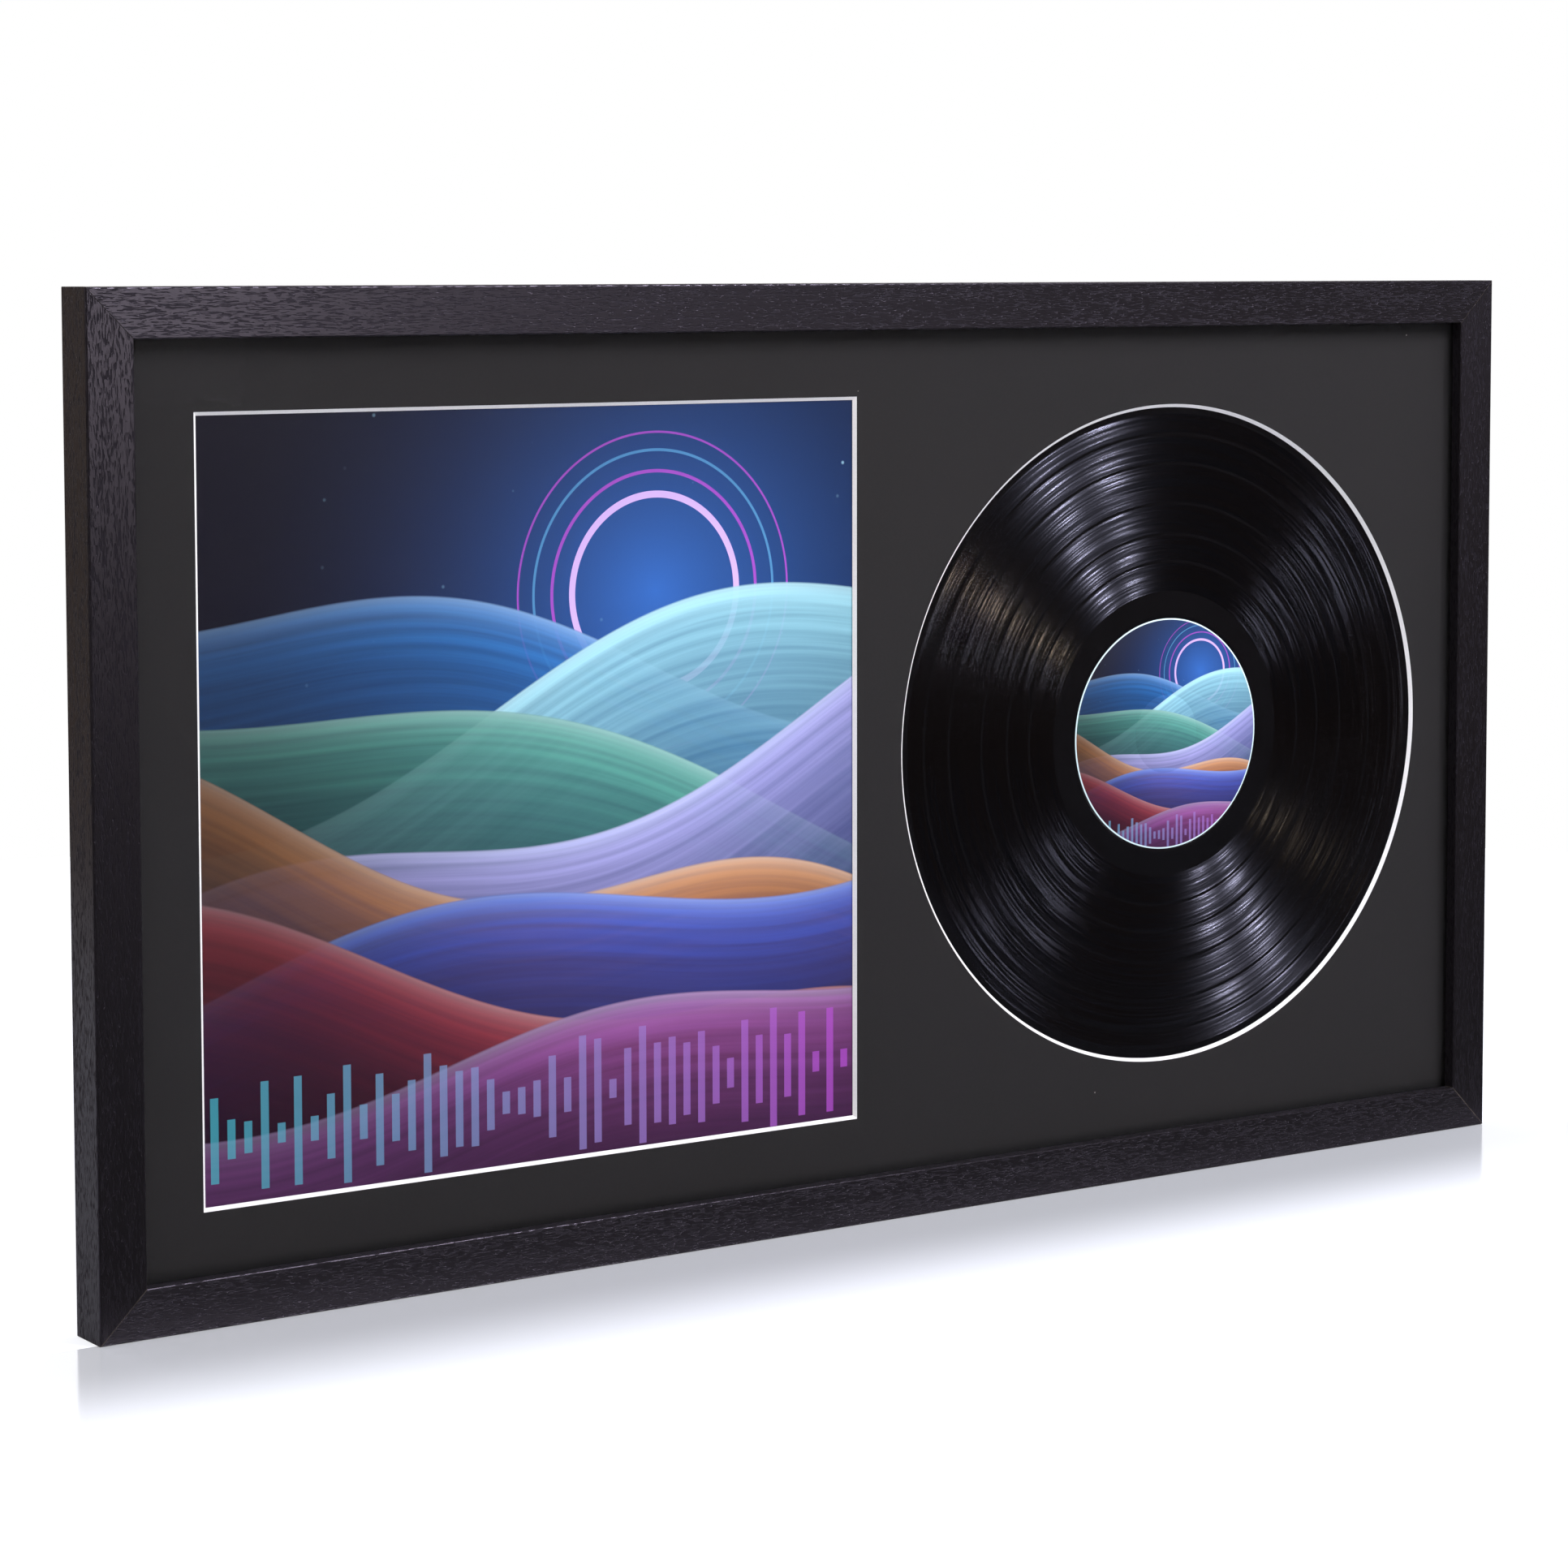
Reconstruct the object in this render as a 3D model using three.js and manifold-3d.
// A landscape picture frame that shows a record sleeve and the bare record beside it.
// Millimetres. +Z is up and the front faces -Y. The origin is the middle of the lower
// rail's underside, so the frame stands on Z = 0.

import * as THREE from "three";
import { mergeVertices } from "three/addons/utils/BufferGeometryUtils.js";
import Module from "manifold-3d";

const wasm = await Module();
wasm.setup();

// Rails: a flat face, and a rebate behind its lip that takes the glazing and boards.
const railFace = 19.5;
const rebateWidth = 6;
const lipDepth = 5.5;
const frontArris = 0.9;
const sightArris = 0.6;
const backArris = 0.5;

// Clearances: between two seated pieces, round the boards, and across a mitre.
const seatGap = 0.3;
const boardPlay = 1;
const mitreGap = 0.2;

// Window mount: a bevel-cut board with a square window and a round one. It covers a
// little of the sleeve's and the record's edge, and its borders show inside the rails.
const sleeveOverlap = 5;
const recordOverlap = 4.5;
const borderLeft = 27.7;
const borderBetween = 23;
const borderRight = 20.4;
const borderTop = 27.7;
const borderBottom = 24;
const mountThickness = 1.4;

// The other layers of the pack, front to back. The tray is deeper than what it holds.
const glazingThickness = 2;
const trayPlay = 0.6;
const fillerThickness = 4.3;
const backingThickness = 3;
const backingRecess = 0.3;

// Long-playing record: a raised rim and label land, with the grooves lying lower.
const discDiameter = 301;
const discThickness = 2.2;
const grooveStep = 0.2;
const rimWidth = 3;
const rimSlope = 1;
const grooveInnerDiameter = 122;
const landWidth = 1.5;
const spindleHole = 7.24;
const labelDiameter = 102.5;
const labelThickness = 0.25;
const labelGlue = 0.05;

// Record sleeve, pressed flat, and the play of sleeve and record in the tray's pockets.
const sleeveSide = 315;
const sleeveThickness = 2.4;
const pocketPlay = 1;

// V-nails driven across each mitre from the back.
const nailLeg = 5.5;
const nailThickness = 0.8;
const nailDepth = 10;
const nailFirst = 3.6;
const nailPitch = 4.6;

// Wood screws with a pan head and a cross recess.
const screwHeadRadius = 2.8;
const screwHeadHeight = 1.8;
const screwHeadFlat = 1.5;
const screwHeadRim = 0.7;
const screwShankRadius = 1.2;
const screwLength = 12;
const screwTip = 3;
const crossLength = 3;
const crossWidth = 0.7;
const crossDepth = 1;

// Turn-buttons: a tapered finger on its screw.
const buttonThickness = 1.2;
const buttonRootRadius = 5.5;
const buttonTipRadius = 3.5;
const buttonReach = 15.5;

// D-ring hangers: a strap with a knuckle, and a wire ring hinged in it.
const strapWidth = 8;
const strapThickness = 1;
const strapEndMargin = 4;
const strapReach = 12;
const ringWireRadius = 1;
const ringInnerWidth = 10.5;
const ringDepth = 11;
const ringCorner = 2;
const hangerDrop = 105;

// Rubber bumpers on the back of the lower rail, which keep the frame off the wall.
const bumperRadius = 5;
const bumperHeight = 5;
const bumperRound = 1.2;
const bumperInset = 32;

// Where the turn-buttons stand along the long rails, as shares of the frame's width,
// and along the short rails, as shares of its height.
const longRailButtonShares = [-0.33, 0, 0.33];
const shortRailButtonShares = [0.42];

// How finely the round shapes are divided.
const windowSides = 96;
const discSides = 72;
const smallSides = 16;
const arrisSteps = 3;
const wireSides = 8;
const wireSteps = 36;

// How far a cutter runs past what it cuts.
const overrun = 1;

// Outside of the frame, from the windows, their borders and the rails.
const sleeveWindow = sleeveSide - 2 * sleeveOverlap;
const recordWindow = discDiameter - 2 * recordOverlap;
const windowsAcross = sleeveWindow + borderBetween + recordWindow;
const windowsHigh = Math.max(sleeveWindow, recordWindow);
const frameWidth = 2 * railFace + borderLeft + windowsAcross + borderRight;
const frameHeight = 2 * railFace + borderTop + windowsHigh + borderBottom;
const landFace = railFace - rebateWidth;
const screwLine = landFace / 2;

// Front face of each layer, as a depth behind the front of the rails.
const trayThickness = Math.max(discThickness, sleeveThickness) + trayPlay;
const glazingFront = lipDepth + seatGap;
const mountFront = glazingFront + glazingThickness + seatGap;
const trayFront = mountFront + mountThickness + seatGap;
const fillerFront = trayFront + trayThickness + seatGap;
const backingFront = fillerFront + fillerThickness + seatGap;
const railDepth = backingFront + backingThickness + backingRecess;
const frontY = -railDepth / 2;
const backY = railDepth / 2;

// Centres of the two windows.
const windowZ = railFace + borderBottom + windowsHigh / 2;
const sleeveX = -frameWidth / 2 + railFace + borderLeft + sleeveWindow / 2;
const recordX = frameWidth / 2 - railFace - borderRight - recordWindow / 2;

// Edges shared by the boards of the pack: they stand on the lower rebate.
const boardLeft = -frameWidth / 2 + landFace + boardPlay;
const boardRight = frameWidth / 2 - landFace - boardPlay;
const boardBottom = landFace + seatGap;
const boardTop = frameHeight - landFace - boardPlay;

// Tray pockets.
const sleevePocket = sleeveSide + 2 * pocketPlay;
const recordPocketRadius = discDiameter / 2 + pocketPlay;

// Knuckle of a hanger, from the wire it holds.
const knuckleBore = ringWireRadius + seatGap;
const knuckleRadius = knuckleBore + strapThickness;

const blackWood = new THREE.MeshStandardMaterial({ color: 0x2b292b, roughness: 0.5 });
const clearSheet = new THREE.MeshStandardMaterial({
  color: 0xf4f7f8,
  roughness: 0.05,
  transparent: true,
  opacity: 0.15,
});
const charcoalBoard = new THREE.MeshStandardMaterial({ color: 0x2e2d31, roughness: 0.9 });
const whiteFoam = new THREE.MeshStandardMaterial({ color: 0xe9e7e1, roughness: 0.9 });
const printedCard = new THREE.MeshStandardMaterial({ color: 0x1f5d86, roughness: 0.5 });
const vinyl = new THREE.MeshStandardMaterial({ color: 0x0b0b0c, roughness: 0.25 });
const labelPaper = new THREE.MeshStandardMaterial({ color: 0x2b7f8f, roughness: 0.6 });
const brownBoard = new THREE.MeshStandardMaterial({ color: 0x8a6a4a, roughness: 0.85 });
const greyBoard = new THREE.MeshStandardMaterial({ color: 0xb9b4a8, roughness: 0.9 });
const zincSteel = new THREE.MeshStandardMaterial({
  color: 0xb6b8ba,
  roughness: 0.35,
  metalness: 1,
});
const blackRubber = new THREE.MeshStandardMaterial({ color: 0x1c1c1d, roughness: 0.7 });

const frame = new THREE.Group();

// Makes a closed solid of a geometry, for cutting and joining.
function solidOf(geometry) {
  const bare = geometry.clone();
  bare.deleteAttribute("normal");
  bare.deleteAttribute("uv");
  const merged = mergeVertices(bare);
  const mesh = new wasm.Mesh({
    numProp: 3,
    vertProperties: new Float32Array(merged.attributes.position.array),
    triVerts: new Uint32Array(merged.index.array),
  });
  return new wasm.Manifold(mesh);
}

// Makes a geometry of a solid.
function geometryOf(solid) {
  const mesh = solid.getMesh();
  const geometry = new THREE.BufferGeometry();
  const places = new THREE.BufferAttribute(mesh.vertProperties, mesh.numProp);
  geometry.setAttribute("position", places);
  geometry.setIndex(new THREE.BufferAttribute(mesh.triVerts, 1));
  return geometry;
}

function addPiece(name, geometry, material) {
  const mesh = new THREE.Mesh(geometry, material);
  mesh.name = name;
  frame.add(mesh);
  return mesh;
}

// Stands an outline drawn in X and Y upright in X and Z, with its front face at the
// given depth behind the front of the rails.
function uprightSheet(outline, depth, thickness, sides) {
  const sheet = new THREE.ExtrudeGeometry(outline, {
    depth: thickness,
    bevelEnabled: false,
    curveSegments: sides,
  });
  sheet.rotateX(Math.PI / 2);
  return sheet.translate(0, frontY + depth + thickness, 0);
}

function rectangle(left, bottom, right, top) {
  const outline = new THREE.Shape();
  outline.moveTo(left, bottom);
  outline.lineTo(right, bottom);
  outline.lineTo(right, top);
  outline.lineTo(left, top);
  outline.closePath();
  return outline;
}

// A rail's section: first number inward from the outer edge, second back from the front.
function railSection() {
  const section = new THREE.Shape();
  const backCorner = railDepth - backArris;
  const sightCorner = railFace - sightArris;
  section.absarc(frontArris, frontArris, frontArris, Math.PI, 1.5 * Math.PI, false);
  section.absarc(sightCorner, sightArris, sightArris, -Math.PI / 2, 0, false);
  section.lineTo(railFace, lipDepth);
  section.lineTo(landFace, lipDepth);
  section.lineTo(landFace, railDepth);
  section.absarc(backArris, backCorner, backArris, Math.PI / 2, Math.PI, false);
  section.closePath();
  return section;
}

// A rail of the given outside length, mitred at both ends. Its length runs along X, its
// outer edge lies at Z = 0 and its sight edge above that.
function mitredRail(length) {
  const rail = new THREE.ExtrudeGeometry(railSection(), {
    depth: length,
    bevelEnabled: false,
    curveSegments: arrisSteps,
  });
  const place = rail.attributes.position;
  const cutBack = (mitreGap / 2) * Math.SQRT2;
  for (let i = 0; i < place.count; i++) {
    const inward = place.getX(i);
    const back = place.getY(i);
    const half = length / 2 - inward - cutBack;
    const along = place.getZ(i) > length / 2 ? -half : half;
    place.setXYZ(i, along, frontY + back, inward);
  }
  return solidOf(rail);
}

// An L of two legs, one along X and one along Z, with its corner at the origin's side.
// The growth widens it on every side, for the slot that it sits in.
function cornerNail(growth) {
  const low = -nailThickness / 2 - growth;
  const high = nailThickness / 2 + growth;
  const end = nailLeg + growth;
  const outline = new THREE.Shape();
  outline.moveTo(low, low);
  outline.lineTo(end, low);
  outline.lineTo(end, high);
  outline.lineTo(high, high);
  outline.lineTo(high, end);
  outline.lineTo(low, end);
  outline.closePath();
  const top = growth ? overrun : -seatGap;
  const nail = new THREE.ExtrudeGeometry(outline, {
    depth: nailDepth + growth + top,
    bevelEnabled: false,
  });
  nail.rotateX(Math.PI / 2);
  return nail.translate(0, backY + top, 0);
}

// Upright bore for a screw, open at the back of the rails.
function screwBore(radius) {
  const length = screwLength + seatGap + overrun;
  const bore = new THREE.CylinderGeometry(radius, radius, length, smallSides);
  return bore.translate(0, backY + overrun - length / 2, 0);
}

// A screw with its head's underside at Y = 0 and its tip towards the front.
function woodScrew() {
  const outline = [
    new THREE.Vector2(0, -screwLength),
    new THREE.Vector2(screwShankRadius, screwTip - screwLength),
    new THREE.Vector2(screwShankRadius, 0),
    new THREE.Vector2(screwHeadRadius, 0),
    new THREE.Vector2(screwHeadRadius, screwHeadRim),
    new THREE.Vector2(screwHeadFlat, screwHeadHeight),
    new THREE.Vector2(0, screwHeadHeight),
  ];
  let screw = solidOf(new THREE.LatheGeometry(outline, smallSides));
  const height = crossDepth + overrun;
  const middle = screwHeadHeight + overrun - height / 2;
  for (const turn of [0, Math.PI / 2]) {
    const slot = new THREE.BoxGeometry(crossLength, height, crossWidth);
    slot.rotateY(turn).translate(0, middle, 0);
    screw = screw.subtract(solidOf(slot));
  }
  return geometryOf(screw);
}

// Places of the turn-buttons: their screw, and the turn that points them inward.
const buttonPlaces = [];
longRailButtonShares.forEach((share, i) => {
  const x = share * frameWidth;
  const number = i + 1;
  buttonPlaces.push({ name: "top_" + number, x, z: frameHeight - screwLine, turn: Math.PI / 2 });
  buttonPlaces.push({ name: "bottom_" + number, x, z: screwLine, turn: -Math.PI / 2 });
});
shortRailButtonShares.forEach((share, i) => {
  const z = share * frameHeight;
  const x = frameWidth / 2 - screwLine;
  const number = i + 1;
  buttonPlaces.push({ name: "left_" + number, x: -x, z, turn: 0 });
  buttonPlaces.push({ name: "right_" + number, x, z, turn: Math.PI });
});

// Places of the two hangers: the screw, and the turn that points the ring inward.
const hangerZ = frameHeight - hangerDrop;
const hangerPlaces = [
  { name: "left", x: -frameWidth / 2 + screwLine, z: hangerZ, turn: 0 },
  { name: "right", x: frameWidth / 2 - screwLine, z: hangerZ, turn: Math.PI },
];

// Places of the V-nails: two along each mitre, with their legs turned away from the
// frame's corner.
const nailPlaces = [];
for (const [across, side] of [["left", -1], ["right", 1]]) {
  for (const [up, edge] of [["bottom", 0], ["top", 1]]) {
    for (const [row, step] of [["outer", 0], ["inner", 1]]) {
      const inset = nailFirst + step * nailPitch;
      nailPlaces.push({
        name: [up, across, row].join("_"),
        x: side * (frameWidth / 2 - inset),
        z: edge ? frameHeight - inset : inset,
        flipX: side > 0,
        flipZ: edge > 0,
      });
    }
  }
}

// Turns a corner nail about Y so that its legs run along the two rails of its corner.
function placedNail(growth, place) {
  const nail = cornerNail(growth);
  const quarter = Math.PI / 2;
  if (place.flipX && place.flipZ) nail.rotateY(2 * quarter);
  else if (place.flipX) nail.rotateY(-quarter);
  else if (place.flipZ) nail.rotateY(quarter);
  return nail.translate(place.x, 0, place.z);
}

// Four rails, bored for their screws and slotted for the nails.
const railPlaces = [
  { name: "bottom_rail", length: frameWidth, turn: 0, x: 0, z: 0 },
  { name: "top_rail", length: frameWidth, turn: Math.PI, x: 0, z: frameHeight },
  { name: "left_rail", length: frameHeight, turn: Math.PI / 2, x: -frameWidth / 2 },
  { name: "right_rail", length: frameHeight, turn: -Math.PI / 2, x: frameWidth / 2 },
];
const cutters = [];
for (const place of [...buttonPlaces, ...hangerPlaces]) {
  const bore = screwBore(screwShankRadius + seatGap);
  cutters.push(solidOf(bore.translate(place.x, 0, place.z)));
}
for (const place of nailPlaces) cutters.push(solidOf(placedNail(seatGap, place)));
for (const { name, length, turn, x, z = frameHeight / 2 } of railPlaces) {
  const whole = geometryOf(mitredRail(length)).rotateY(turn).translate(x, 0, z);
  let rail = solidOf(whole);
  for (const cutter of cutters) rail = rail.subtract(cutter);
  addPiece(name, geometryOf(rail), blackWood);
}
for (const place of nailPlaces) {
  addPiece("v_nail_" + place.name, placedNail(0, place), zincSteel);
}

// Clear glazing behind the lips.
const boardOutline = () => rectangle(boardLeft, boardBottom, boardRight, boardTop);
addPiece("glazing", uprightSheet(boardOutline(), glazingFront, glazingThickness), clearSheet);

// Cutter for a window with a 45 degree bevel, widest at the front of the mount.
function bevelCutter(width, sides, x) {
  const frontHalf = width / 2 + overrun;
  const backHalf = width / 2 - mountThickness - overrun;
  const reach = 1 / Math.cos(Math.PI / sides);
  const height = mountThickness + 2 * overrun;
  const cutter = new THREE.CylinderGeometry(
    backHalf * reach,
    frontHalf * reach,
    height,
    sides,
    1,
    false,
    Math.PI / sides,
  );
  return solidOf(cutter.translate(x, frontY + mountFront + mountThickness / 2, windowZ));
}
const mountSheet = uprightSheet(boardOutline(), mountFront, mountThickness);
const squareSides = 4;
const windowMount = solidOf(mountSheet)
  .subtract(bevelCutter(sleeveWindow, squareSides, sleeveX))
  .subtract(bevelCutter(recordWindow, windowSides, recordX));
addPiece("window_mount", geometryOf(windowMount), charcoalBoard);

// Tray: a foam board with a square pocket for the sleeve and a round one for the record.
const trayOutline = boardOutline();
const halfPocket = sleevePocket / 2;
trayOutline.holes.push(
  rectangle(
    sleeveX - halfPocket,
    windowZ - halfPocket,
    sleeveX + halfPocket,
    windowZ + halfPocket,
  ),
);
const roundPocket = new THREE.Path();
roundPocket.absarc(recordX, windowZ, recordPocketRadius, 0, 2 * Math.PI, true);
trayOutline.holes.push(roundPocket);
const traySheet = uprightSheet(trayOutline, trayFront, trayThickness, windowSides / 2);
addPiece("tray", traySheet, whiteFoam);

// Sleeve, standing on its pocket's lower edge.
const sleeveBottom = windowZ - halfPocket + seatGap;
const sleeveOutline = rectangle(
  sleeveX - sleeveSide / 2,
  sleeveBottom,
  sleeveX + sleeveSide / 2,
  sleeveBottom + sleeveSide,
);
addPiece("record_sleeve", uprightSheet(sleeveOutline, trayFront, sleeveThickness), printedCard);

// Record: turned about its own axis, which runs front to back. Radii and half
// thicknesses of one side are listed outward from the spindle hole, and mirrored.
const labelRecess = labelThickness + labelGlue;
const halfDisc = discThickness / 2;
const landRadius = labelDiameter / 2 + seatGap;
const rimRadius = discDiameter / 2;
const oneSide = [
  [spindleHole / 2, halfDisc - labelRecess],
  [landRadius, halfDisc - labelRecess],
  [landRadius, halfDisc],
  [landRadius + landWidth, halfDisc],
  [grooveInnerDiameter / 2, halfDisc - grooveStep],
  [rimRadius - rimWidth - rimSlope, halfDisc - grooveStep],
  [rimRadius - rimWidth, halfDisc],
  [rimRadius - grooveStep, halfDisc],
  [rimRadius, halfDisc - 2 * grooveStep],
];
const discOutline = [
  ...oneSide.map(([radius, half]) => new THREE.Vector2(radius, -half)),
  ...oneSide.reverse().map(([radius, half]) => new THREE.Vector2(radius, half)),
];
discOutline.push(discOutline[0].clone());
const discY = frontY + trayFront + halfDisc;
const disc = addPiece("record_disc", new THREE.LatheGeometry(discOutline, discSides), vinyl);
disc.position.set(recordX, discY, windowZ);

// Labels: the front one is unbroken, and the rear one keeps the spindle hole.
function label(hole) {
  const outline = new THREE.Shape();
  outline.absarc(0, 0, labelDiameter / 2, 0, 2 * Math.PI, false);
  if (hole) {
    const centre = new THREE.Path();
    centre.absarc(0, 0, spindleHole / 2, 0, 2 * Math.PI, true);
    outline.holes.push(centre);
  }
  const paper = new THREE.ExtrudeGeometry(outline, {
    depth: labelThickness,
    bevelEnabled: false,
    curveSegments: discSides / 3,
  });
  return paper.rotateX(Math.PI / 2);
}
const frontLabel = addPiece("front_label", label(false), labelPaper);
frontLabel.position.set(recordX, discY - halfDisc + labelThickness, windowZ);
const rearLabel = addPiece("rear_label", label(true), labelPaper);
rearLabel.position.set(recordX, discY + halfDisc, windowZ);

// Filler that presses the pack forward, and the hardboard backing behind it.
const fillerSheet = uprightSheet(boardOutline(), fillerFront, fillerThickness);
addPiece("filler_board", fillerSheet, greyBoard);
const backingSheet = uprightSheet(boardOutline(), backingFront, backingThickness);
addPiece("backing_board", backingSheet, brownBoard);

// Turn-buttons: each turns about its screw, with a running gap to rail and head.
const buttonFace = backY + seatGap;
function turnButton() {
  const toTip = buttonReach - buttonTipRadius;
  const lean = Math.acos((buttonRootRadius - buttonTipRadius) / toTip);
  const outline = new THREE.Shape();
  outline.absarc(0, 0, buttonRootRadius, lean, 2 * Math.PI - lean, false);
  outline.absarc(toTip, 0, buttonTipRadius, -lean, lean, false);
  outline.closePath();
  const hole = new THREE.Path();
  hole.absarc(0, 0, screwShankRadius + seatGap, 0, 2 * Math.PI, true);
  outline.holes.push(hole);
  const plate = new THREE.ExtrudeGeometry(outline, {
    depth: buttonThickness,
    bevelEnabled: false,
    curveSegments: smallSides / 2,
  });
  plate.rotateX(Math.PI / 2);
  return plate.translate(0, buttonThickness, 0);
}
for (const { name, x, z, turn } of buttonPlaces) {
  const button = addPiece("turn_button_" + name, turnButton(), zincSteel);
  button.position.set(x, buttonFace, z);
  button.rotation.y = turn;
  const screw = addPiece("button_screw_" + name, woodScrew(), zincSteel);
  screw.position.set(x, buttonFace + buttonThickness + seatGap, z);
}

// Hanger strap: its side view has the knuckle, and its plan has a round outer end.
// Its screw's axis is at X = 0 and its underside at Y = 0.
function hangerStrap() {
  const side = new THREE.Shape();
  const meet = Math.PI + Math.asin(knuckleBore / knuckleRadius);
  side.moveTo(-strapEndMargin, 0);
  side.absarc(strapReach, knuckleRadius, knuckleRadius, -Math.PI / 2, meet, false);
  side.lineTo(-strapEndMargin, strapThickness);
  side.closePath();
  const bore = new THREE.Path();
  bore.absarc(strapReach, knuckleRadius, knuckleBore, 0, 2 * Math.PI, true);
  side.holes.push(bore);
  const strip = new THREE.ExtrudeGeometry(side, {
    depth: strapWidth,
    bevelEnabled: false,
    curveSegments: smallSides / 2,
  });
  strip.translate(0, 0, -strapWidth / 2);
  const plan = new THREE.Shape();
  const past = strapReach + knuckleRadius + overrun;
  const halfWidth = strapWidth / 2;
  plan.absarc(0, 0, strapEndMargin, Math.PI / 2, 1.5 * Math.PI, false);
  plan.lineTo(past, -halfWidth);
  plan.lineTo(past, halfWidth);
  plan.closePath();
  const tall = 2 * knuckleRadius + 2 * overrun;
  const mould = new THREE.ExtrudeGeometry(plan, {
    depth: tall,
    bevelEnabled: false,
    curveSegments: smallSides / 2,
  });
  mould.rotateX(Math.PI / 2).translate(0, tall - overrun, 0);
  const bored = new THREE.CylinderGeometry(
    screwShankRadius + seatGap,
    screwShankRadius + seatGap,
    tall,
    smallSides,
  );
  const strap = solidOf(strip).intersect(solidOf(mould)).subtract(solidOf(bored));
  return geometryOf(strap);
}

// Wire ring: a straight bar through the knuckle and a round bow, along X from the bar.
function hangerRing() {
  const half = ringInnerWidth / 2 + ringWireRadius;
  const bowCentre = ringDepth - half;
  const path = new THREE.Path();
  path.moveTo(0, half - ringCorner);
  path.lineTo(0, ringCorner - half);
  path.absarc(ringCorner, ringCorner - half, ringCorner, Math.PI, 1.5 * Math.PI, false);
  path.absarc(bowCentre, 0, half, -Math.PI / 2, Math.PI / 2, false);
  path.absarc(ringCorner, half - ringCorner, ringCorner, Math.PI / 2, Math.PI, false);
  const points = path.getSpacedPoints(wireSteps).slice(1);
  const route = new THREE.CatmullRomCurve3(
    points.map((point) => new THREE.Vector3(point.x, 0, point.y)),
    true,
  );
  return new THREE.TubeGeometry(route, wireSteps, ringWireRadius, wireSides, true);
}
for (const { name, x, z, turn } of hangerPlaces) {
  const strap = addPiece("hanger_strap_" + name, hangerStrap(), zincSteel);
  strap.position.set(x, backY, z);
  strap.rotation.y = turn;
  const screw = addPiece("hanger_screw_" + name, woodScrew(), zincSteel);
  screw.position.set(x, backY + strapThickness + seatGap, z);
  const ring = addPiece("hanger_ring_" + name, hangerRing(), zincSteel);
  ring.position.set(x + Math.cos(turn) * strapReach, backY + knuckleRadius, z);
  ring.rotation.y = turn;
}

// Bumpers on the back of the lower rail.
function bumper() {
  const outline = [new THREE.Vector2(0, 0)];
  outline.push(new THREE.Vector2(bumperRadius, 0));
  for (let i = 0; i <= arrisSteps; i++) {
    const angle = (i / arrisSteps) * (Math.PI / 2);
    const radius = bumperRadius - bumperRound * (1 - Math.cos(angle));
    const height = bumperHeight - bumperRound * (1 - Math.sin(angle));
    outline.push(new THREE.Vector2(radius, height));
  }
  outline.push(new THREE.Vector2(0, bumperHeight));
  return new THREE.LatheGeometry(outline, smallSides);
}
for (const [name, side] of [["left", -1], ["right", 1]]) {
  const pad = addPiece("bumper_" + name, bumper(), blackRubber);
  pad.position.set(side * (frameWidth / 2 - bumperInset), backY, screwLine);
}

export default frame;
